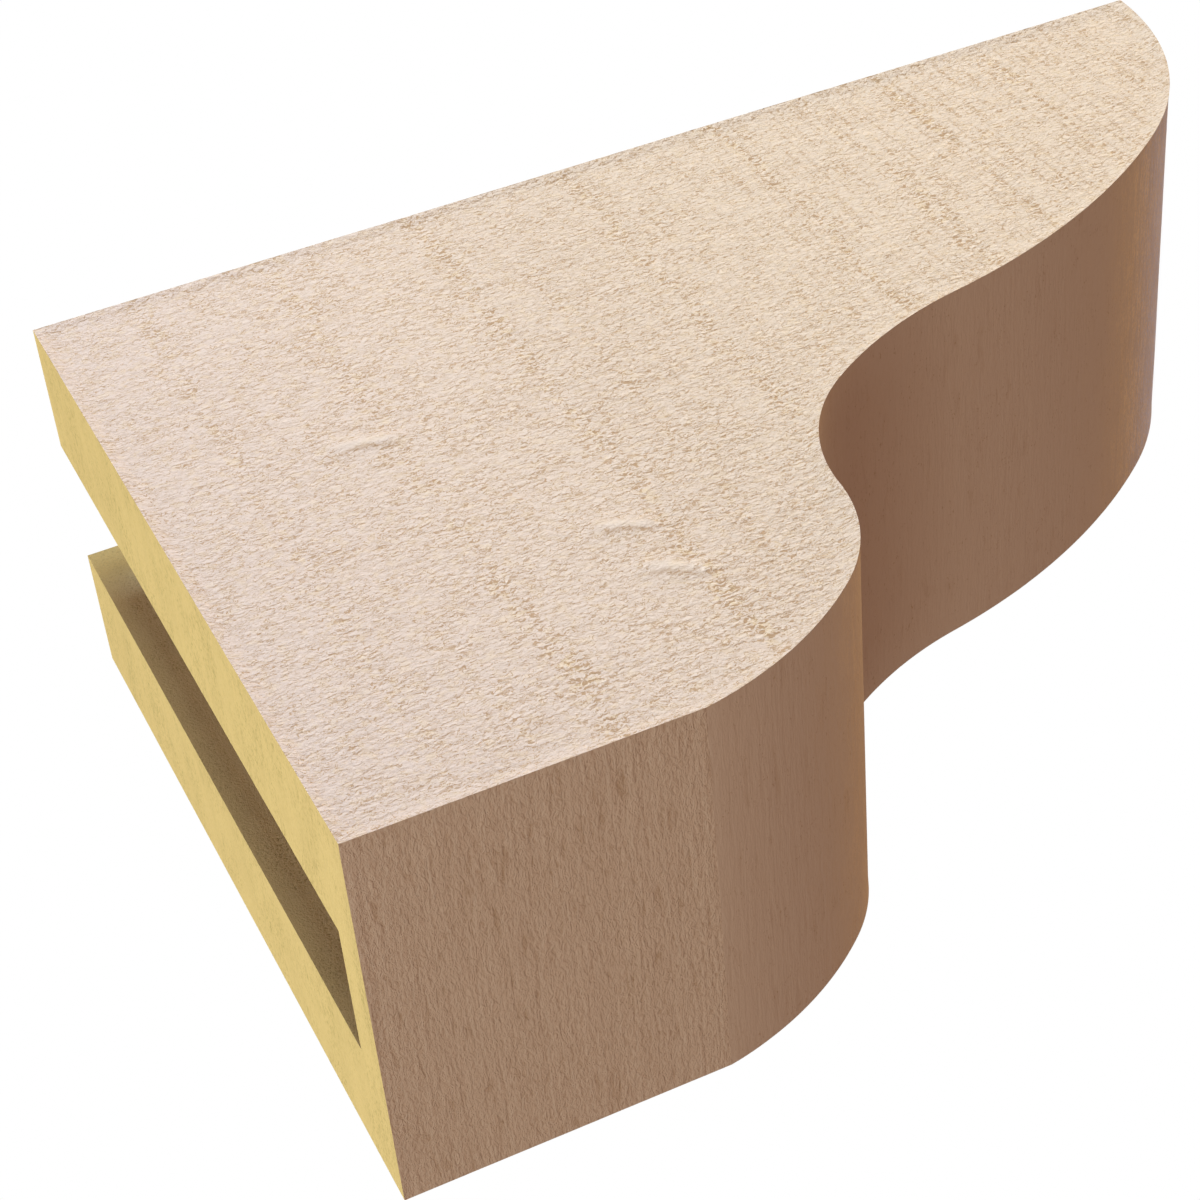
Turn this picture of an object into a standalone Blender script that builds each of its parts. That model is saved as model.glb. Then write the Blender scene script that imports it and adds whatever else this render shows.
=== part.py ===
"""Rough-sawn corbel shaped like a rafter tail, cast in one piece, with a mounting slot up its back.

Metres, +Z up. The back lies in the plane Y = 0 and faces +Y, the corbel reaches out towards -Y, and
its width runs along X with the middle at X = 0. The origin is on the back, in the middle of the closed
strip below the slot.
"""
import math

import bmesh
import bpy

INCH = 0.0254

# Overall sizes
WIDTH = 4.0 * INCH
HEIGHT = 8.0 * INCH
REACH = 12.0 * INCH

# Slot up the middle of the back, open at the top and closed by a strip at the bottom
SLOT_WIDTH = WIDTH / 3.0
SLOT_DEPTH = 1.5 * INCH
STRIP_HEIGHT = 0.5 * INCH

# The carved edge runs from the tip down and back to the flat underside as arcs that meet smoothly.
# Each has a radius and the angle it turns through, negative where it bulges and positive where it hollows.
TIP_HEADING = math.radians(-92.9)
NOSE = (0.089, math.radians(-48.6))
LONG_SLOPE = (0.180, math.radians(-27.8))
COVE_MOUTH = (0.102, math.radians(24.6))
COVE = (0.046, math.radians(51.1))
BELLY = (0.044, math.radians(-45.2))
HEEL_RADIUS = 0.086
FACET_ANGLE = math.radians(3.0)

# Heights of the top and the underside above the origin
TOP_Z = HEIGHT - STRIP_HEIGHT / 2.0
UNDERSIDE_Z = -STRIP_HEIGHT / 2.0

# How far the slot's cutter stands out of the back and the top
CUTTER_OVERRUN = 0.010

# A face whose normal has a part above this is square to that axis, so it isn't on the carved edge
SQUARE = 0.999

PRIMED_TAN = (0.74, 0.60, 0.46, 1.0)
BARE_URETHANE = (0.70, 0.55, 0.22, 1.0)


def clear_scene():
    """Remove every object that the file starts with."""
    for thing in list(bpy.data.objects):
        bpy.data.objects.remove(thing, do_unlink=True)


def make_material(name, colour, roughness):
    """A plain Principled BSDF finish."""
    material = bpy.data.materials.new(name)
    material.use_nodes = True
    shader = material.node_tree.nodes["Principled BSDF"]
    shader.inputs["Base Color"].default_value = colour
    shader.inputs["Roughness"].default_value = roughness
    shader.inputs["Metallic"].default_value = 0.0
    return material


def arc(start, heading, radius, turn):
    """Points of an arc after its start, with its end heading; reach and height are the two axes."""
    side = math.copysign(1.0, turn)
    centre_reach = start[0] - side * radius * math.sin(heading)
    centre_z = start[1] + side * radius * math.cos(heading)
    steps = max(2, math.ceil(abs(turn) / FACET_ANGLE))
    points = []
    for step in range(1, steps + 1):
        angle = heading + turn * step / steps
        points.append((centre_reach + side * radius * math.sin(angle),
                       centre_z - side * radius * math.cos(angle)))
    return points, heading + turn


def heel_turn(start, heading):
    """Angle that the heel turns through before it meets the flat underside."""
    centre_z = start[1] - HEEL_RADIUS * math.cos(heading)
    end_heading = -math.acos((UNDERSIDE_Z - centre_z) / HEEL_RADIUS)
    return end_heading - heading


def side_outline():
    """The outline seen from the side, as reach from the back and height."""
    outline = [(0.0, UNDERSIDE_Z), (0.0, TOP_Z), (REACH, TOP_Z)]
    heading = TIP_HEADING
    for radius, turn in (NOSE, LONG_SLOPE, COVE_MOUTH, COVE, BELLY):
        points, heading = arc(outline[-1], heading, radius, turn)
        outline.extend(points)
    points, heading = arc(outline[-1], heading, HEEL_RADIUS, heel_turn(outline[-1], heading))
    outline.extend(points)
    return outline


def make_slot_cutter():
    """The block that leaves the slot when it is taken away."""
    low_z = UNDERSIDE_Z + STRIP_HEIGHT
    high_z = TOP_Z + CUTTER_OVERRUN
    mesh = bpy.data.meshes.new("slot_cutter")
    cutter = bpy.data.objects.new("slot_cutter", mesh)
    bpy.context.collection.objects.link(cutter)
    shape = bmesh.new()
    bmesh.ops.create_cube(shape, size=1.0)
    bmesh.ops.scale(shape, vec=(SLOT_WIDTH, SLOT_DEPTH + CUTTER_OVERRUN, high_z - low_z), verts=shape.verts)
    middle = (0.0, (CUTTER_OVERRUN - SLOT_DEPTH) / 2.0, (low_z + high_z) / 2.0)
    bmesh.ops.translate(shape, vec=middle, verts=shape.verts)
    shape.to_mesh(mesh)
    shape.free()
    cutter.hide_render = True
    cutter.display_type = "WIRE"
    return cutter


def make_corbel():
    """The block cut to its outline: one face drawn on the -X side, drawn across to the +X side."""
    mesh = bpy.data.meshes.new("corbel")
    corbel = bpy.data.objects.new("corbel", mesh)
    bpy.context.collection.objects.link(corbel)
    shape = bmesh.new()
    corners = [shape.verts.new((-WIDTH / 2.0, -reach, z)) for reach, z in side_outline()]
    side = shape.faces.new(corners)
    swept = bmesh.ops.extrude_face_region(shape, geom=[side])
    far_corners = [item for item in swept["geom"] if isinstance(item, bmesh.types.BMVert)]
    bmesh.ops.translate(shape, vec=(WIDTH, 0.0, 0.0), verts=far_corners)
    bmesh.ops.recalc_face_normals(shape, faces=shape.faces)
    shape.to_mesh(mesh)
    shape.free()
    return corbel


def dress(corbel):
    """The primed tan finish, with the back left as bare urethane and only the carved edge smooth."""
    mesh = corbel.data
    mesh.materials.append(make_material("primed tan", PRIMED_TAN, 0.75))
    mesh.materials.append(make_material("bare urethane", BARE_URETHANE, 0.85))
    for face in mesh.polygons:
        face.material_index = 1 if face.normal.y > SQUARE else 0
        face.use_smooth = max(abs(part) for part in face.normal) < SQUARE


def main():
    clear_scene()
    corbel = make_corbel()
    dress(corbel)
    slot = corbel.modifiers.new("slot", "BOOLEAN")
    slot.operation = "DIFFERENCE"
    slot.solver = "EXACT"
    slot.object = make_slot_cutter()


main()
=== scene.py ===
# A rough-sawn corbel shaped like a rafter tail, cast in urethane, with its finish.
# Metres, +Z up as installed. The back faces +Y and the corbel reaches out towards -Y.
import math
from itertools import product

import bmesh
import bpy
import numpy as np
from bpy.props import FloatProperty, FloatVectorProperty, PointerProperty
from bpy.types import Operator, Panel, PropertyGroup
from mathutils import Matrix, Vector
from mathutils.geometry import delaunay_2d_cdt
from mathutils.kdtree import KDTree


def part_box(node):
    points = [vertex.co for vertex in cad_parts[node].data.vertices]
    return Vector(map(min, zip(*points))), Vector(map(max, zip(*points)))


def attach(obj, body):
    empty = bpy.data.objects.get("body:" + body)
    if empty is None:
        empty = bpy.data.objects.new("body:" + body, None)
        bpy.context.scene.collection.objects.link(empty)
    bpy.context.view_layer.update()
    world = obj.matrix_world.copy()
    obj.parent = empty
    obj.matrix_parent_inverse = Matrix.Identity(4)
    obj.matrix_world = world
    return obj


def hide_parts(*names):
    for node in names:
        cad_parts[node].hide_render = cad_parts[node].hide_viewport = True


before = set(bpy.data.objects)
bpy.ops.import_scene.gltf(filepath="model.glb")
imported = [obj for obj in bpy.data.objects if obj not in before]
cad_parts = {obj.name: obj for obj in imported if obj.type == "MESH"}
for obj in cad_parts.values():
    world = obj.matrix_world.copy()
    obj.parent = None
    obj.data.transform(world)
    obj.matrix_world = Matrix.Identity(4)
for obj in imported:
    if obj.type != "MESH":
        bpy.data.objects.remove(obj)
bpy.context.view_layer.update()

bl_info = {
    "name": "Rough-Sawn Corbel",
    "version": (1, 0, 0),
    "blender": (4, 5, 0),
    "location": "3D View > Sidebar > Corbel",
    "description": "Casts a rough-sawn corbel with a carved edge and a mounting slot, and lights it",
    "category": "Add Mesh",
}

NODE = "corbel"
LOW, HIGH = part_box(NODE)
WIDTH = HIGH[0] - LOW[0]
REACH = HIGH[1] - LOW[1]
MM = 0.001

# How far inside the solid's box the mesh stays
MARGIN = 0.000002

# The faces, in the order of the casting's material slots
SAWN, FLAT, CARVED, BARE, SLOT = range(5)

# The saw marks across the sides: how far out from the back and half width, both in mm, then strength
SAW_MARKS = ((25, 3.6, 0.55), (42, 1.6, 0.4), (58.5, 4.6, 0.6), (97, 3.4, 0.9), (113, 2.0, 0.45),
             (138.5, 3.4, 0.8), (182, 2.4, 1.0), (208, 3.2, 0.5), (229, 2.2, 0.9), (259, 2.0, 0.8))

# The long low swellings of the sides: reach and height of the middle, half length and half width, all
# in mm, and how steeply they fall away from the back, in degrees
SWELLINGS = ((88, 55.0, 7.0, 2.6, 24), (91, 36.5, 7.5, 2.8, 34), (52, 112.0, 9.0, 2.6, 12))

# The worst torn spots of the sides, given in the same way; they lie along the saw marks
TEARS = ((95.5, 23.0, 17.0, 3.0, 92), (60, 17.0, 8.0, 3.5, 90), (229, 178.0, 19.0, 2.2, 90),
         (259, 179.0, 15.0, 2.2, 94), (237, 149.0, 12.0, 2.6, 90), (208, 132.0, 12.0, 3.0, 95))

# How far the saw marks lean outwards for each metre across the width
SAW_SLANT = 0.09

# How much the shade of a swelling bends: its rise in metres, for each metre squared along it
SWELLING_BEND = 22.0

# How far up the relief of a finish is compared with itself, to find what faces up and what faces down
# What faces down gets painted shade, and what faces up a painted highlight.
RISE = 0.28 * MM

# Odd numbers that scatter the corners of the noise's cells, and the shifts that stir them
CELL_KEYS = np.array((73856093, 19349663, 83492791), np.uint64)
SEED_KEY = 2654435761
STIR_KEY = np.uint64(2246822519)
STIR_SHIFTS = (15, 12, 16)
LOW_BITS = np.uint64(0xFFFFFFFF)

# How far in from the arrises the relief is let out, and the share of it that is left on them
ARRIS_WIDTH = 3.5 * MM
ARRIS_SHARE = 0.12

# Faces that meet at more than this keep a sharp edge between them
SHARP_ANGLE = math.radians(48.0)

# Points of two patches are one where they fall into the same cell of 0.01 mm, and the shift keeps round
# sizes off the limits of these cells
CELLS_PER_METRE = 1e5
CELL_SHIFT = 0.123

# How near to its loop the grid of a patch comes, in steps, and how near two points are one, in metres
LOOP_GAP = 0.75
NEAR = 1e-9

# What counts as nothing between two reaches, in metres
TINY = 1e-6

# The soft lights: azimuth and elevation in degrees, and distance and size in metres
LIGHTS = {
    "key": (-87, 20, 1.5, 0.9),
    "under": (178, -62, 1.3, 0.9),
    "back": (180, 0, 1.3, 0.8),
    "front": (-2, 36, 1.3, 0.8),
}
SENSOR_MM = 36.0
FLOOR_HALF_WIDTH = 12.0
BACKDROP_RADIUS = 20.0


class CorbelShape(PropertyGroup):
    """Sizes of the casting that the solid's box doesn't give."""

    slot_width: FloatProperty(name="Slot width", description="Width of the mounting slot",
                              default=WIDTH / 3.0, unit="LENGTH")
    slot_depth: FloatProperty(name="Slot depth", description="How far the slot runs in from the back",
                              default=38.1 * MM, unit="LENGTH")
    strip: FloatProperty(name="Strip", description="Height of the closed strip under the slot",
                         default=12.7 * MM, unit="LENGTH")
    tip_heading: FloatProperty(name="Tip heading", description="Direction of the carved edge at the tip",
                               default=math.radians(-92.9), subtype="ANGLE")
    nose_radius: FloatProperty(name="Nose radius", description="Radius of the nose under the tip",
                               default=89.0 * MM, unit="LENGTH")
    nose_turn: FloatProperty(name="Nose turn", description="Angle that the nose turns through",
                             default=math.radians(-48.6), subtype="ANGLE")
    slope_radius: FloatProperty(name="Slope radius", description="Radius of the long slope behind the nose",
                                default=180.0 * MM, unit="LENGTH")
    slope_turn: FloatProperty(name="Slope turn", description="Angle that the long slope turns through",
                              default=math.radians(-27.8), subtype="ANGLE")
    mouth_radius: FloatProperty(name="Cove mouth radius", description="Radius where the cove begins",
                                default=102.0 * MM, unit="LENGTH")
    mouth_turn: FloatProperty(name="Cove mouth turn", description="Angle that the cove's mouth turns through",
                              default=math.radians(24.6), subtype="ANGLE")
    cove_radius: FloatProperty(name="Cove radius", description="Radius of the cove",
                               default=46.0 * MM, unit="LENGTH")
    cove_turn: FloatProperty(name="Cove turn", description="Angle that the cove turns through",
                             default=math.radians(51.1), subtype="ANGLE")
    belly_radius: FloatProperty(name="Belly radius", description="Radius of the belly under the cove",
                                default=44.0 * MM, unit="LENGTH")
    belly_turn: FloatProperty(name="Belly turn", description="Angle that the belly turns through",
                              default=math.radians(-45.2), subtype="ANGLE")
    heel_radius: FloatProperty(name="Heel radius", description="Radius that runs out into the flat underside",
                               default=86.0 * MM, unit="LENGTH")
    fine_step: FloatProperty(name="Fine step", description="Mesh spacing on the faces that show",
                             default=1.56 * MM, unit="LENGTH")


class CorbelRelief(PropertyGroup):
    """Depths of the modelled relief, all cut into the solid."""

    swell: FloatProperty(name="Swell", description="Depth of the slow waves of each face",
                         default=0.22 * MM, unit="LENGTH")
    ripple: FloatProperty(name="Ripple", description="Depth of the ripples along the grain of the sides",
                          default=0.10 * MM, unit="LENGTH")
    saw_mark: FloatProperty(name="Saw marks", description="Depth of the saw's bands across the grain",
                            default=0.28 * MM, unit="LENGTH")
    tear: FloatProperty(name="Torn grain", description="Depth of the torn lumps in and beside the saw marks",
                        default=0.30 * MM, unit="LENGTH")
    swelling: FloatProperty(name="Swellings", description="Height of the long low swellings of the sides",
                            default=0.9 * MM, unit="LENGTH")
    peel: FloatProperty(name="Peel", description="Depth of the pebbled skin of the underside and the top",
                        default=0.12 * MM, unit="LENGTH")


class CorbelFinish(PropertyGroup):
    """Colours of the finish, with painted shade, highlights and warm light among them."""

    primer: FloatVectorProperty(name="Primer", description="Tan primer of the sides near the nose",
                                default=(0.64, 0.488, 0.396), min=0.0, max=1.0, subtype="COLOR")
    primer_pale: FloatVectorProperty(name="Pale primer", description="Tan primer of the sides near the back",
                                     default=(0.612, 0.468, 0.430), min=0.0, max=1.0, subtype="COLOR")
    primer_warm: FloatVectorProperty(name="Warm primer", description="Yellower primer beside the torn bands",
                                     default=(0.65, 0.47, 0.31), min=0.0, max=1.0, subtype="COLOR")
    # Partly painted shade: the primer of the underside and top, darker and warmer than that of the sides.
    primer_under_shaded: FloatVectorProperty(name="Underside primer", description="Tan primer on underside and top",
                                      default=(0.622, 0.458, 0.335), min=0.0, max=1.0, subtype="COLOR")
    # Partly painted shade: the primer of the carved edge, darker and warmer than that of the sides.
    primer_carved_shaded: FloatVectorProperty(name="Carved primer", description="Tan primer on the carved edge",
                                       default=(0.585, 0.435, 0.325), min=0.0, max=1.0, subtype="COLOR")
    # Painted warm light, grazing the front of the nose and faintly a strip of the belly.
    primer_nose_light: FloatVectorProperty(name="Nose light", description="Warmer primer on the front of the nose",
                                     default=(0.86, 0.63, 0.38), min=0.0, max=1.0, subtype="COLOR")
    # Painted highlight on the up-facing flanks of the grain and on the swellings' crests.
    primer_highlight: FloatVectorProperty(name="Highlight primer", description="Primer on the crests of the grain",
                                      default=(0.75, 0.60, 0.52), min=0.0, max=1.0, subtype="COLOR")
    # Painted shade: the primer darkened in the hollows and creases and on the down-facing flanks of the
    # relief.
    primer_shade: FloatVectorProperty(name="Shade primer", description="Primer gathered in the grooves",
                                     default=(0.36, 0.20, 0.095), min=0.0, max=1.0, subtype="COLOR")
    rim: FloatVectorProperty(name="Rim", description="Pale bloom of the carved edge, seen along it",
                             default=(0.60, 0.66, 1.0), min=0.0, max=1.0, subtype="COLOR")
    # Painted shade inside the small pits; no hole is cut for them.
    pit_shade: FloatVectorProperty(name="Pit", description="Inside of the small dark pits",
                             default=(0.10, 0.065, 0.04), min=0.0, max=1.0, subtype="COLOR")
    bare: FloatVectorProperty(name="Bare urethane", description="Unpainted back",
                              default=(0.69, 0.495, 0.19), min=0.0, max=1.0, subtype="COLOR")
    bare_deep: FloatVectorProperty(name="Stained urethane", description="Olive streaks on the back",
                                   default=(0.42, 0.30, 0.09), min=0.0, max=1.0, subtype="COLOR")
    # Partly painted shade: a darker, greyer copy of the bare urethane for the shade inside the slot.
    slot: FloatVectorProperty(name="Slot", description="Unpainted urethane inside the slot",
                              default=(0.575, 0.455, 0.285), min=0.0, max=1.0, subtype="COLOR")
    # Painted shade: darker towards the slot's mouth.
    slot_mouth_shade: FloatVectorProperty(name="Slot mouth", description="Unpainted urethane at the slot's mouth",
                                    default=(0.42, 0.29, 0.138), min=0.0, max=1.0, subtype="COLOR")
    # Painted shade: darker at the slot's open end, against the key light that falls in there.
    slot_top_shade: FloatVectorProperty(name="Slot top", description="Unpainted urethane at the slot's open end",
                                  default=(0.37, 0.245, 0.09), min=0.0, max=1.0, subtype="COLOR")
    slot_deep: FloatVectorProperty(name="Stained slot", description="Dark specks inside the slot",
                                   default=(0.24, 0.17, 0.07), min=0.0, max=1.0, subtype="COLOR")


class CorbelStage(PropertyGroup):
    """Floor, lights and camera."""

    floor_drop: FloatProperty(name="Floor drop", description="Depth of the floor below the corbel",
                              default=1.05, unit="LENGTH")
    aim: FloatVectorProperty(name="Aim", description="Point on the side face that the camera looks at",
                             default=(LOW[0], -0.0725, 0.034), subtype="XYZ", unit="LENGTH")
    distance: FloatProperty(name="Distance", description="From the camera to its aim",
                            default=0.5605, unit="LENGTH")
    azimuth: FloatProperty(name="Azimuth", description="Where the camera stands, 0 in front of the nose",
                           default=math.radians(-115.13), subtype="ANGLE")
    elevation: FloatProperty(name="Elevation", description="Angle of the camera above the horizon",
                             default=math.radians(-46.78), subtype="ANGLE")
    roll: FloatProperty(name="Roll", description="Lean of the camera, with its top to the right",
                        default=math.radians(38.42), subtype="ANGLE")
    lens: FloatProperty(name="Lens", description="Focal length on a 36 mm sensor, in millimetres",
                        default=83.19, unit="CAMERA")
    key_power: FloatProperty(name="Key light", description="Power of the large light beside the corbel",
                             default=34.0, subtype="POWER")
    key_colour: FloatVectorProperty(name="Key colour", description="Colour of the key light",
                                    default=(0.75, 0.935, 0.98), min=0.0, max=1.0, subtype="COLOR")
    under_power: FloatProperty(name="Under light", description="Power of the light below the back",
                               default=7.6, subtype="POWER")
    under_colour: FloatVectorProperty(name="Under colour", description="Colour of the under light",
                                      default=(0.914, 1.0, 0.955), min=0.0, max=1.0, subtype="COLOR")
    front_power: FloatProperty(name="Front light", description="Power of the light in front of the nose",
                               default=12.3, subtype="POWER")
    front_colour: FloatVectorProperty(name="Front colour", description="Colour of the front light",
                                      default=(1.0, 0.70, 0.25), min=0.0, max=1.0, subtype="COLOR")
    back_power: FloatProperty(name="Back light", description="Power of the light behind the back",
                              default=12.0, subtype="POWER")
    back_colour: FloatVectorProperty(name="Back colour", description="Colour of the back light",
                                     default=(0.811, 0.988, 1.0), min=0.0, max=1.0, subtype="COLOR")
    ambient: FloatVectorProperty(name="Ambient", description="Light from all round",
                                 default=(0.322, 0.21, 0.16), min=0.0, max=1.0, subtype="COLOR")


# Noise and relief of the casting's skin

def lattice_noise(points, seed):
    """Smooth noise between -1 and 1, with lumps about one unit across."""
    cell = np.floor(points).astype(np.int64)
    part = points - cell
    ease = part ** 3 * (part * (part * 6.0 - 15.0) + 10.0)
    total = np.zeros(len(points))
    for corner in product((0, 1), repeat=3):
        at = (cell + np.array(corner)).astype(np.uint64)
        code = np.bitwise_xor.reduce(at * CELL_KEYS, axis=1)
        code = (code ^ np.uint64(seed * SEED_KEY)) & LOW_BITS
        for shift in STIR_SHIFTS:
            code = ((code ^ (code >> np.uint64(shift))) * STIR_KEY) & LOW_BITS
        weight = np.where(np.array(corner), ease, 1.0 - ease).prod(axis=1)
        total += weight * (code / 2.0 ** 31 - 1.0)
    return total


def smooth_step(low, high, values):
    """0 below low, 1 above high, and an even S between."""
    t = np.clip((values - low) / (high - low), 0.0, 1.0)
    return t * t * (3.0 - 2.0 * t)


def lumps(points, size_mm, seed):
    """Noise whose lumps have the size given, in millimetres along X, Y and Z, with finer lumps on them."""
    places = points / (np.array(size_mm) * MM)
    return lattice_noise(places, seed) + lattice_noise(places * 2.0, seed + 1) * 0.5


def mark_stops():
    """Where each saw mark starts, peaks and ends, as reach in metres, with its strength there."""
    return [(at * MM, level) for out, half_width, strength in SAW_MARKS
            for at, level in ((out - half_width, 0.0), (out, strength), (out + half_width, 0.0))]


def saw_bands(points):
    """The saw marks across the grain: 0 between them, and up to their strength in their middles."""
    reach = (points[:, 0] - LOW[0]) * SAW_SLANT - points[:, 1]
    marks = np.interp(reach, *zip(*mark_stops()))
    return marks * smooth_step(-0.5, 0.4, lumps(points, (24, 10, 12), 31))


def swellings(points):
    """The long low swellings on the sides: 1 on their crests."""
    total = np.zeros(len(points))
    for reach, z, half_length, half_width, fall in SWELLINGS:
        along, up = -points[:, 1] / MM - reach, points[:, 2] / MM - z
        turn = math.radians(fall)
        length = along * math.cos(turn) - up * math.sin(turn)
        width = along * math.sin(turn) + up * math.cos(turn)
        width = np.where(width < 0.0, width * 1.6, width)
        total += np.exp(-(length / half_length) ** 4 - (width / half_width) ** 2)
    return total


def side_relief(points, relief):
    """Depth cut into a side face: ripples along Y, with torn bands along Z and a few swellings."""
    torn = np.abs(lumps(points, (9, 3.4, 2.9), 43))
    depth = relief.swell * (0.5 + 0.5 * lumps(points, (60, 48, 42), 47))
    depth += relief.ripple * (1.0 + lumps(points, (30, 11, 3.1), 41))
    depth += relief.swelling * (1.0 - swellings(points))
    return depth + saw_bands(points) * (relief.saw_mark * 0.5 + relief.tear * torn)


def skin_relief(points, relief):
    """Depth cut into the underside, the top, the back and the slot: pebbles and faint streaks along X."""
    patches = smooth_step(-0.35, 0.3, lumps(points, (24, 15, 15), 53))
    pebbles = lumps(points, (3.6, 2.9, 2.9), 59)
    streaks = lumps(points, (34, 3.0, 3.0), 61)
    depth = relief.swell * (0.4 + 0.4 * lumps(points, (50, 45, 45), 67))
    depth += relief.peel * (1.0 + patches * pebbles * 0.8 + streaks * 0.4)
    return depth + relief.saw_mark * 0.3 * saw_bands(points)


def carved_relief(points, relief):
    """Depth cut into the carved edge: smoother than the rest, with faint streaks along X."""
    depth = relief.swell * (0.4 + 0.4 * lumps(points, (50, 45, 45), 67))
    return depth + relief.peel * 0.3 * (1.0 + lumps(points, (34, 3.0, 3.0), 61))


def eased(depth, gap):
    """The depth, let out to a little of itself at the edge of a face, so that the arrises stay straight."""
    return depth * (ARRIS_SHARE + (1.0 - ARRIS_SHARE) * smooth_step(0.0, ARRIS_WIDTH, gap))


# The casting, patch by patch

def arc(start, heading, radius, turn, step):
    """Points of an arc after its start, as reach and height, with its end heading."""
    side = math.copysign(1.0, turn)
    centre = (start[0] - side * radius * math.sin(heading), start[1] + side * radius * math.cos(heading))
    count = max(2, round(abs(turn) * radius / step))
    angles = [heading + turn * number / count for number in range(1, count + 1)]
    points = [(centre[0] + side * radius * math.sin(angle), centre[1] - side * radius * math.cos(angle))
              for angle in angles]
    return points, heading + turn


def carved_edge(shape):
    """The carved edge from the tip to the flat underside, as reach and height."""
    points = [(REACH, HIGH[2])]
    heading = shape.tip_heading
    for radius, turn in ((shape.nose_radius, shape.nose_turn), (shape.slope_radius, shape.slope_turn),
                         (shape.mouth_radius, shape.mouth_turn), (shape.cove_radius, shape.cove_turn),
                         (shape.belly_radius, shape.belly_turn)):
        more, heading = arc(points[-1], heading, radius, turn, shape.fine_step)
        points.extend(more)
    centre_z = points[-1][1] - shape.heel_radius * math.cos(heading)
    last_turn = -math.acos((LOW[2] - centre_z) / shape.heel_radius) - heading
    more, heading = arc(points[-1], heading, shape.heel_radius, last_turn, shape.fine_step)
    return points + more[:-1] + [(more[-1][0], LOW[2])]


def divide(start, end, step):
    """Points from start to just before end, about a step apart."""
    start, end = np.array(start, float), np.array(end, float)
    count = max(1, round(np.linalg.norm(end - start) / step))
    return [start + (end - start) * number / count for number in range(count)]


def divide_loop(corners, step):
    """Points round a closed loop of corners."""
    return [point for start, end in zip(corners, corners[1:] + corners[:1])
            for point in divide(start, end, step)]


def inside(points, loop):
    """Which of the flat points lie inside the loop."""
    ends = np.roll(loop, -1, axis=0)
    hits = np.zeros(len(points), bool)
    for start, end in zip(loop, ends):
        if start[1] == end[1]:
            continue
        rows = np.flatnonzero((start[1] > points[:, 1]) != (end[1] > points[:, 1]))
        share = (points[rows, 1] - start[1]) / (end[1] - start[1])
        hits[rows] ^= points[rows, 0] < start[0] + share * (end[0] - start[0])
    return hits


def gaps(points, loop):
    """How far each of the flat points is from the nearest point of the loop."""
    tree = KDTree(len(loop))
    for number, point in enumerate(loop):
        tree.insert((*point, 0.0), number)
    tree.balance()
    return np.array([tree.find((*point, 0.0))[2] for point in points])


def fill_patch(loop, axes, step):
    """A flat patch: points in staggered rows inside its loop, its triangles, and its gaps to the loop."""
    loop = np.array(loop)
    flat = loop[:, axes]
    low, high = flat.min(axis=0), flat.max(axis=0)
    rows = np.arange(low[1], high[1], step * math.sqrt(0.75))
    columns = np.arange(low[0], high[0], step)
    grid = np.array([(column + (number % 2) * step / 2.0, row)
                     for number, row in enumerate(rows) for column in columns])
    grid = grid[inside(grid, flat)]
    grid = grid[gaps(grid, flat) > step * LOOP_GAP]
    points = np.vstack((flat, grid))
    corners = [Vector(point) for point in points.tolist()]
    faces = np.array(delaunay_2d_cdt(corners, [], [list(range(len(flat)))], 0, NEAR, False)[2])
    on_loop = (faces < len(flat)).all(axis=1)
    keep = ~on_loop
    keep[on_loop] = inside(points[faces[on_loop]].mean(axis=1), flat)
    filled = np.full((len(points), 3), loop[0, 3 - sum(axes)])
    filled[:, axes] = points
    return filled, faces[keep], gaps(points, flat)


class Casting:
    """The patches of the casting, collected and then joined along their shared edges."""

    def __init__(self):
        self.points = []
        self.pushes = []
        self.faces = []
        self.finishes = []
        self.count = 0

    def add(self, points, faces, normals, depths, finishes):
        """Takes in a patch; its faces may run either way round."""
        normals = np.broadcast_to(np.array(normals, float), points.shape)
        faces = np.array(faces)
        first, second, third = (points[faces[:, number]] for number in range(3))
        outward = np.einsum("ij,ij->i", np.cross(second - first, third - first), normals[faces[:, 0]])
        faces[outward < 0.0] = faces[outward < 0.0, ::-1]
        self.faces.append(faces + self.count)
        self.finishes.append(np.broadcast_to(finishes, len(faces)))
        self.points.append(points)
        self.pushes.append(-normals * depths[:, None])
        self.count += len(points)

    def join(self):
        """The points, one where patches meet and pushed in by each of them, and the faces on them."""
        points = np.vstack(self.points)
        keys = np.round(points * CELLS_PER_METRE + CELL_SHIFT).astype(np.int64)
        _, first, index = np.unique(keys, axis=0, return_index=True, return_inverse=True)
        index = index.ravel()
        pushed = points[first]
        np.add.at(pushed, index, np.vstack(self.pushes))
        pushed = np.clip(pushed, np.array(LOW) + MARGIN, np.array(HIGH) - MARGIN)
        return pushed, [face for faces in self.faces for face in index[faces].tolist()]


def strip_patch(path, step):
    """The underside and the carved edge: the path drawn across the width, with its normals."""
    rows = [point[0] for point in divide((LOW[0], 0, 0), (HIGH[0], 0, 0), step)] + [HIGH[0]]
    path = np.array(path)
    tangent = np.gradient(path, axis=0)
    normal = np.stack((-tangent[:, 1], tangent[:, 0]), axis=1)
    normal /= np.linalg.norm(normal, axis=1)[:, None]
    points = np.array([(x, -reach, z) for x in rows for reach, z in path])
    normals = np.array([(0.0, -across, up) for _ in rows for across, up in normal])
    wide = len(path)
    faces = np.array([(row * wide + column, row * wide + column + 1, (row + 1) * wide + column + 1,
                       (row + 1) * wide + column)
                      for row in range(len(rows) - 1) for column in range(wide - 1)])
    return points, faces, normals


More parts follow.
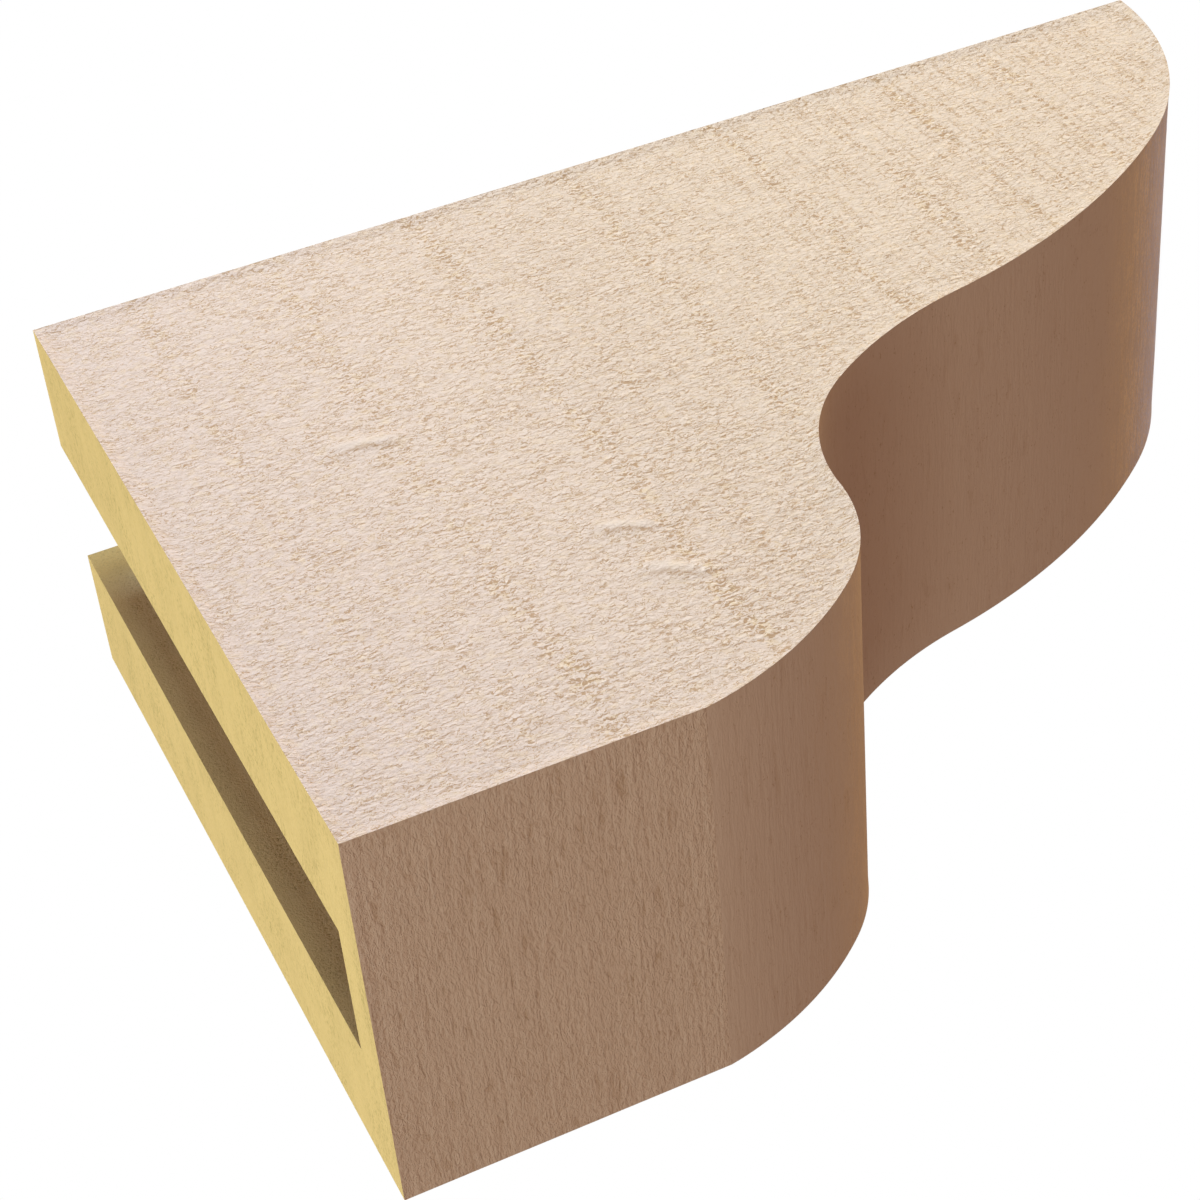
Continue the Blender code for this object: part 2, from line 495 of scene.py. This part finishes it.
def cast(shape, relief):
    """All the patches of the casting, joined."""
    step = shape.fine_step
    half, half_slot = WIDTH / 2.0, shape.slot_width / 2.0
    top, bottom, bed = HIGH[2], LOW[2], LOW[2] + shape.strip
    depth = -shape.slot_depth
    carved = carved_edge(shape)
    heel = carved[-1][0]
    underside = [(point[0], bottom) for point in divide((heel, 0, 0), (0, 0, 0), step)] + [(0.0, bottom)]
    casting = Casting()

    path = carved + underside[1:]
    points, faces, normals = strip_patch(path, step)
    flat_share = smooth_step(-heel - 2.0 * step, -heel, points[:, 1])
    depths = (1.0 - flat_share) * carved_relief(points, relief) + flat_share * skin_relief(points, relief)
    on_flat = points[faces[:, :2], 1].min(axis=1) > -heel - TINY
    gap = WIDTH / 2.0 - np.abs(points[:, 0])
    casting.add(points, faces, normals, eased(depths, gap), np.where(on_flat, FLAT, CARVED))

    for x, out in ((-half, -1.0), (half, 1.0)):
        loop = [np.array((x, -reach, z)) for reach, z in path]
        loop += divide((x, 0.0, bottom), (x, 0.0, top), step)[1:]
        loop += divide((x, 0.0, top), (x, -REACH, top), step)
        points, faces, gap = fill_patch(loop, [1, 2], step)
        casting.add(points, faces, (out, 0, 0), eased(side_relief(points, relief), gap), SAWN)

    flat_patches = (
        ([(-half, 0, top), (-half_slot, 0, top), (-half_slot, depth, top), (half_slot, depth, top),
          (half_slot, 0, top), (half, 0, top), (half, -REACH, top), (-half, -REACH, top)],
         [0, 1], (0, 0, 1), FLAT),
        ([(-half, 0, bottom), (half, 0, bottom), (half, 0, top), (half_slot, 0, top), (half_slot, 0, bed),
          (-half_slot, 0, bed), (-half_slot, 0, top), (-half, 0, top)],
         [0, 2], (0, 1, 0), BARE),
        ([(-half_slot, 0, bed), (-half_slot, depth, bed), (-half_slot, depth, top), (-half_slot, 0, top)],
         [1, 2], (1, 0, 0), SLOT),
        ([(half_slot, 0, bed), (half_slot, depth, bed), (half_slot, depth, top), (half_slot, 0, top)],
         [1, 2], (-1, 0, 0), SLOT),
        ([(-half_slot, depth, bed), (half_slot, depth, bed),
          (half_slot, depth, top), (-half_slot, depth, top)],
         [0, 2], (0, 1, 0), SLOT),
        ([(-half_slot, 0, bed), (half_slot, 0, bed), (half_slot, depth, bed), (-half_slot, depth, bed)],
         [0, 1], (0, 0, 1), SLOT),
    )
    for corners, axes, normal, finish in flat_patches:
        points, faces, gap = fill_patch(divide_loop(corners, step), axes, step)
        casting.add(points, faces, normal, eased(skin_relief(points, relief), gap), finish)
    return casting


def build_mesh(name, casting):
    """The casting's mesh, smooth but for its arrises."""
    points, faces = casting.join()
    mesh = bpy.data.meshes.new(name)
    mesh.from_pydata(points.tolist(), [], faces)
    mesh.polygons.foreach_set("material_index", np.concatenate(casting.finishes))
    mesh.shade_smooth()
    mesh.set_sharp_from_angle(angle=SHARP_ANGLE)
    mesh.validate()
    return mesh


# Finishes

def plug(tree, socket, value):
    """Links a socket, or sets a plain value."""
    if isinstance(value, bpy.types.NodeSocket):
        tree.links.new(value, socket)
    else:
        socket.default_value = value


def add_node(tree, kind, inputs, **settings):
    """A shader node with its settings, and its inputs by name or number; gives back its first output."""
    node = tree.nodes.new("ShaderNode" + kind)
    for name, value in settings.items():
        setattr(node, name, value)
    for name, value in inputs.items():
        plug(tree, node.inputs[name], value)
    return node.outputs[0]


def in_lumps(tree, where, size_mm):
    """The place, counted in lumps of the size given, in millimetres along X, Y and Z."""
    scale = tuple(1.0 / (size * MM) for size in size_mm)
    return add_node(tree, "VectorMath", {0: where, 1: scale}, operation="MULTIPLY")


def noise(tree, where, size_mm, detail=3.0, roughness=0.55, distortion=0.0):
    """Noise whose lumps have the size given, in millimetres along X, Y and Z."""
    return add_node(tree, "TexNoise", {"Vector": in_lumps(tree, where, size_mm), "Scale": 1.0,
                                       "Detail": detail, "Roughness": roughness, "Distortion": distortion})


def cells(tree, where, size_mm):
    """The outputs of a pattern of cells of the size given, in millimetres along X, Y and Z."""
    return add_node(tree, "TexVoronoi", {"Vector": in_lumps(tree, where, size_mm), "Scale": 1.0}).node.outputs


def remap(tree, value, low, high, to_low=0.0, to_high=1.0):
    """An even S from to_low at low to to_high at high."""
    return add_node(tree, "MapRange", {"Value": value, "From Min": low, "From Max": high,
                                       "To Min": to_low, "To Max": to_high},
                    interpolation_type="SMOOTHSTEP")


def maths(tree, operation, first, second):
    """One sum on two values."""
    return add_node(tree, "Math", {0: first, 1: second}, operation=operation)


def times(tree, first, *others):
    """The product of all the values."""
    for other in others:
        first = maths(tree, "MULTIPLY", first, other)
    return first


def weighted(tree, *terms):
    """The sum of pairs of a value and its weight."""
    total = 0.0
    for value, weight in terms:
        total = add_node(tree, "Math", {0: value, 1: weight, 2: total}, operation="MULTIPLY_ADD")
    return total


def gap_from(tree, value, middle):
    """How far a value is from the middle, either way."""
    return maths(tree, "ABSOLUTE", maths(tree, "SUBTRACT", value, middle), 0.0)


def rgba(colour):
    """A solid colour, as the sockets take it."""
    return (*colour, 1.0)


def coats(tree, colour, *layers):
    """A colour with others laid over it in turn, each by its share."""
    for share, layer in layers:
        mix = tree.nodes.new("ShaderNodeMix")
        mix.data_type = "RGBA"
        for number, value in ((0, share), (6, colour), (7, rgba(layer))):
            plug(tree, mix.inputs[number], value)
        colour = mix.outputs[2]
    return colour


def new_finish(name):
    """A material with an empty tree but for its shader, and the place on the part in metres."""
    material = bpy.data.materials.new(name)
    material.use_nodes = True
    tree = material.node_tree
    where = tree.nodes.new("ShaderNodeTexCoord").outputs["Object"]
    return material, tree, tree.nodes["Principled BSDF"], where


def finish_surface(tree, shader, colour, roughness, height, strength=1.0):
    """Plugs a colour, a roughness and a height in millimetres into the shader."""
    bump = add_node(tree, "Bump", {"Strength": strength, "Distance": MM, "Height": height})
    plug(tree, shader.inputs["Base Color"], colour)
    plug(tree, shader.inputs["Roughness"], roughness)
    plug(tree, shader.inputs["Normal"], bump)


def pits(tree, where, cell_mm, share, radius_mm):
    """Small round pits scattered one to a cell, in that share of the cells: 1 inside one. Their dark is
    painted shade; no hole is cut.
    """
    pattern = cells(tree, where, (cell_mm,) * 3)
    draw = add_node(tree, "SeparateColor", {"Color": pattern["Color"]})
    chosen = remap(tree, draw, share, share - 0.02)
    spot = remap(tree, pattern["Distance"], 1.4 * radius_mm / cell_mm, 0.7 * radius_mm / cell_mm)
    return times(tree, chosen, spot)


def crumbs(tree, where):
    """Torn crumbs: 0 in the creases between them and 1 on their tops."""
    return remap(tree, cells(tree, where, (2.0, 2.0, 1.3))["Distance"], 0.8, 0.1)


def shaken(tree, where, size_mm, reach_mm):
    """Each place moved by up to the reach given, in a way that changes over the size given."""
    colour = noise(tree, where, (size_mm,) * 3, 2.0, 0.65).node.outputs["Color"]
    centred = add_node(tree, "VectorMath", {0: colour, 1: (0.5, 0.5, 0.5)}, operation="SUBTRACT")
    return add_node(tree, "VectorMath", {0: centred, 1: (2.0 * reach_mm * MM,) * 3, 2: where},
                    operation="MULTIPLY_ADD")


# The rise places painted shade on down-facing flanks and painted highlights on up-facing ones.
def with_rise(tree, where, kind, *settings):
    """A kind of relief, and how much it rises towards a place a little above."""
    above = add_node(tree, "VectorMath", {0: where, 1: (0.0, 0.0, RISE)}, operation="ADD")
    here = kind(tree, where, *settings)
    return here, maths(tree, "SUBTRACT", kind(tree, above, *settings), here)


def creases(tree, relief, rise, half_width, full_rise):
    """Painted shade: thin lines where a relief passes its middle on the way up, on its down-facing flanks."""
    line = remap(tree, gap_from(tree, relief, 0.5), 0.0, half_width, 1.0, 0.0)
    return times(tree, line, remap(tree, rise, 0.0, full_rise))


def saw_marks(tree, where):
    """The saw marks, 0 between them and up to their strength in their middles, and the reach they follow."""
    x, y, _ = add_node(tree, "SeparateXYZ", {"Vector": where}).node.outputs
    reach = maths(tree, "SUBTRACT", times(tree, maths(tree, "SUBTRACT", x, LOW[0]), SAW_SLANT), y)
    for size_mm, sway_mm in (((60, 400, 34), 9.0), ((5, 5, 3), 4.0)):
        sway = maths(tree, "SUBTRACT", noise(tree, where, size_mm, 2.0), 0.5)
        reach = maths(tree, "ADD", reach, times(tree, sway, sway_mm * MM))
    ramp = tree.nodes.new("ShaderNodeValToRGB")
    plug(tree, ramp.inputs["Fac"], maths(tree, "DIVIDE", reach, REACH))
    stops = ramp.color_ramp.elements
    stops.remove(stops[1])
    stops[0].color = rgba((0.0, 0.0, 0.0))
    for at, level in mark_stops():
        stops.new(at / REACH).color = rgba((level, level, level))
    broken = remap(tree, noise(tree, where, (12, 5, 6), 2.0), 0.36, 0.58, 0.3, 1.0)
    return times(tree, ramp.outputs["Color"], broken), reach


def spot_axes(tree, where, reach, z, fall):
    """How far each place lies along and across a spot of the sides."""
    turn = math.radians(fall)
    offset = add_node(tree, "VectorMath", {0: where, 1: (0.0, -reach * MM, z * MM)}, operation="SUBTRACT")
    return [add_node(tree, "VectorMath", {0: offset, 1: way}, operation="DOT_PRODUCT").node.outputs["Value"]
            for way in ((0.0, -math.cos(turn), -math.sin(turn)), (0.0, -math.sin(turn), math.cos(turn)))]


def swelling(tree, where, reach, z, half_length, half_width, fall):
    """The shade under a long low swelling, and the light on its crest."""
    along, across = spot_axes(tree, where, reach, z, fall)
    across = maths(tree, "ADD", across, times(tree, along, along, SWELLING_BEND))
    on = remap(tree, gap_from(tree, along, 0.0), half_length * 1.15 * MM, half_length * 0.5 * MM)
    under = gap_from(tree, across, -half_width * 0.55 * MM)
    over = gap_from(tree, across, half_width * 0.2 * MM)
    shade = times(tree, on, remap(tree, under, 0.8 * MM, 0.15 * MM))
    return shade, times(tree, on, remap(tree, over, half_width * MM, 0.3 * MM))


def tear(tree, where, reach, z, half_length, half_width, fall):
    """A torn spot: 1 in its middle and 0 outside it."""
    along, across = spot_axes(tree, where, reach, z, fall)
    along = times(tree, along, 1.0 / (half_length * MM))
    across = times(tree, across, 1.0 / (half_width * MM))
    return remap(tree, weighted(tree, (along, along), (across, across)), 1.4, 0.2)


# Torn and worn only weigh the painted shade and highlight of the grain; they change no relief.
def sawn_wear(tree, where, bands, reach, outward, rows):
    """How torn and how worn the sawn grain is: by patches, by saw marks and by the rows of the nose."""
    patches = remap(tree, noise(tree, where, (13, 9, 8), 3.0), 0.38, 0.62, 0.5, 1.35)
    rowed = times(tree, remap(tree, outward, 0.2, 1.0, 0.2, 1.0), remap(tree, rows, 0.57, 0.43, -0.4, 0.9))
    quiet = times(tree, patches, remap(tree, outward, 0.3, 1.0, 0.9, 0.65))
    torn = times(tree, weighted(tree, (quiet, 1.0), (bands, 2.5)), maths(tree, "ADD", rowed, 1.0),
                 remap(tree, reach, 0.015, 0.075, 0.7, 1.0))
    worn = weighted(tree, (patches, 0.5), (bands, 0.15), (1.0, 0.5), (rowed, 0.25))
    return torn, worn


def sawn_finish(colours):
    """Primer on the sawn sides: ripples along Y, crumbs and creases, torn bands along Z, pits, painted shade
    and highlights.
    """
    material, tree, shader, where = new_finish("sawn primer")
    place = shaken(tree, where, 4.0, 1.0)
    moved = shaken(tree, where, 2.1, 1.8)
    bands, reach = saw_marks(tree, where)
    for spot in TEARS:
        bands = weighted(tree, (bands, 1.0), (tear(tree, place, *spot), 0.6))
    outward = remap(tree, reach, 0.05, 0.24)
    rows = noise(tree, where, (5, 1.5, 22), 2.0, 0.6)
    torn, worn = sawn_wear(tree, where, bands, reach, outward, rows)

    # Each relief with its rise: its down-facing flanks get painted shade, its up-facing ones a painted
    # highlight.
    ripples, ripple_rise = with_rise(tree, where, noise, (14, 12, 1.6), 2.0, 0.58)
    curls, curl_rise = with_rise(tree, where, noise, (1.6, 1.7, 0.78), 3.0, 0.66, 0.9)
    veins, vein_rise = with_rise(tree, moved, noise, (2.6, 2.6, 1.2), 3.0, 0.62, 0.8)
    heaps, heap_rise = with_rise(tree, moved, crumbs)
    grains = noise(tree, where, (0.42, 0.42, 0.36), 1.0, 0.6)
    stretches = remap(tree, noise(tree, where, (12, 7, 3), 2.0), 0.42, 0.56, 0.25, 1.0)
    # Painted shade as thin dark lines on the down-facing flanks of the ripples and veins.
    long_crease_shade = times(tree, creases(tree, ripples, ripple_rise, 0.045, 0.05), stretches)
    short_crease_shade = times(tree, creases(tree, veins, vein_rise, 0.05, 0.04),
                          weighted(tree, (torn, 0.75), (1.0, 0.35)))
    # Painted shade under each swelling and a painted highlight on its crest.
    shade, crest = 0.0, 0.0
    for spot in SWELLINGS:
        more_shade, more_crest = swelling(tree, place, *spot)
        shade = maths(tree, "ADD", shade, more_shade)
        crest = maths(tree, "ADD", crest, more_crest)

    # All painted shade: on the down-facing flanks, in the hollows of the grains, ripples and rows, and under
    # the swellings.
    shaded_and_stained = weighted(
        tree,
        (short_crease_shade, 1.05),
        (long_crease_shade, 0.4),
        (times(tree, remap(tree, curl_rise, 0.05, 0.15), worn), 0.42),
        (times(tree, remap(tree, heap_rise, 0.05, 0.32), torn), 0.42),
        (remap(tree, grains, 0.46, 0.25), 0.12),
        (remap(tree, ripples, 0.45, 0.32), remap(tree, outward, 0.0, 1.0, 0.12, 0.05)),
        (remap(tree, rows, 0.44, 0.34), remap(tree, outward, 0.3, 1.0, 0.0, 0.2)),
    )
    # Less painted shade on the swellings' crests.
    crest_shade_scale = maths(tree, "SUBTRACT", 1.0, times(tree, crest, 0.75))
    shaded_and_stained = weighted(tree, (shaded_and_stained, crest_shade_scale), (shade, 0.36))
    # Painted highlight on the up-facing flanks of the curls and crumbs and on the swellings' crests.
    painted_highlight = weighted(
        tree,
        (times(tree, remap(tree, curl_rise, -0.06, -0.17), worn), 0.35),
        (times(tree, remap(tree, heap_rise, -0.05, -0.32), torn), 0.15),
        (crest, 0.22),
    )
    stains = remap(tree, noise(tree, where, (4.5, 3.2, 2.4), 2.0, 0.6), 0.48, 0.66)
    stained = times(tree, stains, weighted(tree, (bands, 0.5), (1.0, 0.3)))
    outer = coats(tree, rgba(colours.primer_pale), (remap(tree, reach, -0.02, 0.19), colours.primer))
    colour = coats(
        tree,
        outer,
        (stained, colours.primer_warm),
        (painted_highlight, colours.primer_highlight),
        (maths(tree, "MINIMUM", shaded_and_stained, 0.85), colours.primer_shade),
        # Painted shade of the small pits.
        (pits(tree, where, 11.0, 0.10, 0.5), colours.pit_shade),
    )
    height = weighted(tree, (curls, 0.6), (heaps, 0.115), (ripples, 0.35), (grains, 0.10))
    strength = remap(tree, outward, 0.0, 0.3, 0.8, 1.0)
    finish_surface(tree, shader, colour, remap(tree, curls, 0.3, 0.7, 0.82, 0.65), height, strength)
    return material


def nose_light_zone(tree, z):
    """Where warm light is painted on the carved edge: the front of the nose, and faintly a strip of the
    belly.
    """
    belly = times(tree, remap(tree, z, 0.006, 0.016), remap(tree, z, 0.050, 0.038, 0.0, 0.3))
    return maths(tree, "ADD", belly, remap(tree, z, 0.114, 0.131))


def skin_finish(name, base, colours, pebbling, streaking, specking, rim=0.0):
    """Primer on the faces across the grain: a pebbled skin, streaks along X, specks and pits, with painted
    shade.
    """
    material, tree, shader, where = new_finish(name)
    pebbles = noise(tree, where, (1.7, 0.95, 0.95), 3.0, 0.64, 0.6)
    streaks = noise(tree, where, (13, 1.7, 1.7), 3.0, 0.6, 0.4)
    fine = noise(tree, where, (1.1, 0.6, 0.6), 2.0, 0.7)
    patches = remap(tree, noise(tree, where, (26, 14, 14), 2.0), 0.38, 0.6, 0.5, 1.2)
    broken = remap(tree, noise(tree, where, (9, 5, 5), 2.0), 0.42, 0.60)
    nose = 0.0
    if rim:
        z = add_node(tree, "SeparateXYZ", {"Vector": where}).node.outputs["Z"]
        nose = nose_light_zone(tree, z)
        plug(tree, shader.inputs["Sheen Weight"], remap(tree, z, 0.120, 0.137, 0.0, rim))
        shader.inputs["Sheen Roughness"].default_value = 0.17
        shader.inputs["Sheen Tint"].default_value = rgba(colours.rim)
    # Painted warm light on the nose and belly, broken by the fine specks and the streaks.
    painted_nose_light = times(tree, nose, remap(tree, fine, 0.56, 0.44, 0.3, 1.0),
                   remap(tree, streaks, 0.6, 0.4, 0.35, 1.0))
    # Painted shade in the hollows of the pebbles and streaks, and dark specks.
    shaded_and_stained = weighted(
        tree,
        (times(tree, remap(tree, pebbles, 0.52, 0.30), patches), 0.2 * pebbling),
        (times(tree, remap(tree, streaks, 0.46, 0.30), broken), 0.4 * streaking),
        (times(tree, remap(tree, fine, 0.40, 0.31), broken), 0.35 * specking),
    )
    colour = coats(
        tree,
        rgba(base),
        (painted_nose_light, colours.primer_nose_light),
        (shaded_and_stained, colours.primer_shade),
        # Painted shade of the small pits.
        (pits(tree, where, 13.0, 0.10, 0.45), colours.pit_shade),
    )
    depth = weighted(tree, (nose, 0.45), (pebbling, 0.5))
    height = weighted(tree, (pebbles, depth), (streaks, 0.5 * streaking))
    finish_surface(tree, shader, colour, remap(tree, pebbles, 0.3, 0.7, 0.75, 0.6), height)
    return material


def bare_finish(name, base, stained, staining, crumbling, mouth=None, top=None):
    """Unpainted urethane: streaks along X, crumbs and fine foam, with painted shade at the slot's mouth and
    top.
    """
    material, tree, shader, where = new_finish(name)
    base = rgba(base)
    # Painted shade: the slot darkens towards its mouth and its open end.
    if mouth:
        _, y, z = add_node(tree, "SeparateXYZ", {"Vector": where}).node.outputs
        base = coats(tree, base, (remap(tree, y, -9.0 * MM, 0.0), mouth), (remap(tree, z, 0.176, 0.190), top))
    streaks = noise(tree, where, (4, 2.4, 1.3), 4.0, 0.68, 0.8)
    foam = noise(tree, where, (1.0, 0.7, 0.7), 2.0, 0.7)
    slow = noise(tree, where, (40, 14, 10), 2.0)
    patches = remap(tree, noise(tree, where, (24, 12, 12), 2.0), 0.40, 0.60, 0.25, 1.0)
    # Olive stains along the streaks, darker foam, painted shade in small pores, and slow changes of tone.
    shaded_and_stained = weighted(
        tree,
        (times(tree, remap(tree, streaks, 0.52, 0.36), patches), staining),
        (times(tree, remap(tree, foam, 0.47, 0.33), patches), crumbling),
        (pits(tree, where, 2.0, 0.3, 0.25), 0.4),
        (remap(tree, slow, 0.4, 0.65), 0.12),
    )
    colour = coats(tree, base, (shaded_and_stained, stained))
    height = weighted(tree, (streaks, 0.12), (foam, crumbling * 0.35))
    finish_surface(tree, shader, colour, remap(tree, foam, 0.3, 0.7, 0.9, 0.7), height)
    return material


class CORBEL_OT_casting(Operator):
    """Cast the corbel: its mesh with the sawn relief, and its primed and bare finishes"""

    bl_idname = "corbel.casting"
    bl_label = "Cast Corbel"
    bl_options = {"REGISTER", "UNDO"}

    def execute(self, context):
        scene = context.scene
        casting = cast(scene.corbel_shape, scene.corbel_relief)
        piece = bpy.data.objects.new("casting", build_mesh("casting", casting))
        context.collection.objects.link(piece)
        colours = scene.corbel_finish
        finishes = (
            sawn_finish(colours),
            skin_finish("underside primer", colours.primer_under_shaded, colours,
                        pebbling=1.15, streaking=1.0, specking=0.15),
            skin_finish("carved primer", colours.primer_carved_shaded, colours,
                        pebbling=0.2, streaking=0.5, specking=1.5, rim=1.0),
            bare_finish("bare urethane", colours.bare, colours.bare_deep, staining=0.4, crumbling=0.6),
            bare_finish("slot urethane", colours.slot, colours.slot_deep, staining=0.12, crumbling=0.7,
                        mouth=colours.slot_mouth_shade, top=colours.slot_top_shade),
        )
        for material in finishes:
            piece.data.materials.append(material)
        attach(piece, "root")
        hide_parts(NODE)
        return {"FINISHED"}


# Floor, lights and camera

def look_along(back, roll=0.0):
    """A turn that faces away from the direction back, with the top leaning to the right by roll."""
    facing = back.to_track_quat("Z", "Y").to_matrix()
    return facing @ Matrix.Rotation(-roll, 3, "Z")


def direction(azimuth, elevation):
    """From the corbel: azimuth 0 is in front of the nose, 90 degrees towards +X."""
    level = math.cos(elevation)
    return Vector((math.sin(azimuth) * level, -math.cos(azimuth) * level, math.sin(elevation)))


def add_light(name, azimuth, elevation, distance, size, power, colour):
    """A square soft light that faces the middle of the corbel."""
    lamp = bpy.data.lights.new(name, "AREA")
    lamp.shape = "SQUARE"
    lamp.size = size
    lamp.energy = power
    lamp.color = colour
    holder = bpy.data.objects.new(name, lamp)
    back = direction(math.radians(azimuth), math.radians(elevation))
    middle = (Vector(LOW) + Vector(HIGH)) / 2.0
    holder.matrix_world = Matrix.Translation(middle + back * distance) @ look_along(back).to_4x4()
    holder.visible_camera = False
    bpy.context.collection.objects.link(holder)


def plain_material(name, colour, roughness):
    """A finish of one colour."""
    material = bpy.data.materials.new(name)
    material.use_nodes = True
    shader = material.node_tree.nodes["Principled BSDF"]
    shader.inputs["Base Color"].default_value = rgba(colour)
    shader.inputs["Roughness"].default_value = roughness
    return material


def add_floor(drop):
    """A pale floor, far enough below for the camera to look up at the corbel."""
    mesh = bpy.data.meshes.new("floor")
    half = FLOOR_HALF_WIDTH
    level = LOW[2] - drop
    corners = [(-half, -half, level), (half, -half, level), (half, half, level), (-half, half, level)]
    mesh.from_pydata(corners, [], [(0, 1, 2, 3)])
    floor = bpy.data.objects.new("floor", mesh)
    mesh.materials.append(plain_material("pale floor", (0.8, 0.8, 0.8), 0.9))
    floor.visible_diffuse = False
    bpy.context.collection.objects.link(floor)


def add_backdrop():
    """A white backdrop all round, which the camera sees and which lights nothing."""
    shape = bmesh.new()
    bmesh.ops.create_uvsphere(shape, u_segments=32, v_segments=16, radius=BACKDROP_RADIUS)
    mesh = bpy.data.meshes.new("backdrop")
    shape.to_mesh(mesh)
    shape.free()
    material = bpy.data.materials.new("white backdrop")
    material.use_nodes = True
    tree = material.node_tree
    tree.nodes.remove(tree.nodes["Principled BSDF"])
    glow = add_node(tree, "Emission", {"Color": (1.0, 1.0, 1.0, 1.0), "Strength": 1.0})
    plug(tree, tree.nodes["Material Output"].inputs["Surface"], glow)
    mesh.materials.append(material)
    backdrop = bpy.data.objects.new("backdrop", mesh)
    for kind in ("diffuse", "glossy", "transmission", "volume_scatter", "shadow"):
        setattr(backdrop, "visible_" + kind, False)
    bpy.context.collection.objects.link(backdrop)


def add_world(scene, ambient):
    """Even light from all round."""
    world = bpy.data.worlds.new("soft room")
    world.use_nodes = True
    background = world.node_tree.nodes["Background"]
    background.inputs["Color"].default_value = rgba(ambient)
    background.inputs["Strength"].default_value = 1.0
    scene.world = world


def add_camera(scene, stage):
    """The camera, below the corbel and beside it."""
    lens = bpy.data.cameras.new("camera")
    lens.lens = stage.lens
    lens.sensor_width = SENSOR_MM
    camera = bpy.data.objects.new("camera", lens)
    back = direction(stage.azimuth, stage.elevation)
    camera.matrix_world = (Matrix.Translation(Vector(stage.aim) + back * stage.distance)
                           @ look_along(back, stage.roll).to_4x4())
    bpy.context.collection.objects.link(camera)
    scene.camera = camera


class CORBEL_OT_stage(Operator):
    """Set up the pale floor, the soft lights and the camera"""

    bl_idname = "corbel.stage"
    bl_label = "Set Up Stage"
    bl_options = {"REGISTER", "UNDO"}

    def execute(self, context):
        scene = context.scene
        stage = scene.corbel_stage
        add_floor(stage.floor_drop)
        add_backdrop()
        for name, place in LIGHTS.items():
            power = getattr(stage, name + "_power")
            colour = getattr(stage, name + "_colour")
            add_light(name + " light", *place, power, colour)
        add_world(scene, stage.ambient)
        scene.view_settings.view_transform = "Standard"
        add_camera(scene, stage)
        return {"FINISHED"}


class CORBEL_PT_panel(Panel):
    """The corbel's steps and values"""

    bl_label = "Corbel"
    bl_idname = "CORBEL_PT_panel"
    bl_space_type = "VIEW_3D"
    bl_region_type = "UI"
    bl_category = "Corbel"

    def draw(self, context):
        layout = self.layout
        for operator in OPERATORS:
            layout.operator(operator.bl_idname)
        for name in GROUPS:
            group = getattr(context.scene, name)
            box = layout.box()
            for value in group.bl_rna.properties:
                if value.identifier not in ("rna_type", "name"):
                    box.prop(group, value.identifier)


OPERATORS = (CORBEL_OT_casting, CORBEL_OT_stage)
GROUPS = {
    "corbel_shape": CorbelShape,
    "corbel_relief": CorbelRelief,
    "corbel_finish": CorbelFinish,
    "corbel_stage": CorbelStage,
}


def register():
    """Make the groups, the operators and the panel known, and give each scene its groups."""
    for group in GROUPS.values():
        bpy.utils.register_class(group)
    for name, group in GROUPS.items():
        setattr(bpy.types.Scene, name, PointerProperty(type=group))
    for kind in (*OPERATORS, CORBEL_PT_panel):
        bpy.utils.register_class(kind)


def unregister():
    """Undo what register does, the other way round."""
    for kind in (CORBEL_PT_panel, *reversed(OPERATORS)):
        bpy.utils.unregister_class(kind)
    for name, group in GROUPS.items():
        delattr(bpy.types.Scene, name)
        bpy.utils.unregister_class(group)


def main():
    """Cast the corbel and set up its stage."""
    register()
    bpy.ops.corbel.casting()
    bpy.ops.corbel.stage()


if __name__ == "__main__":
    main()
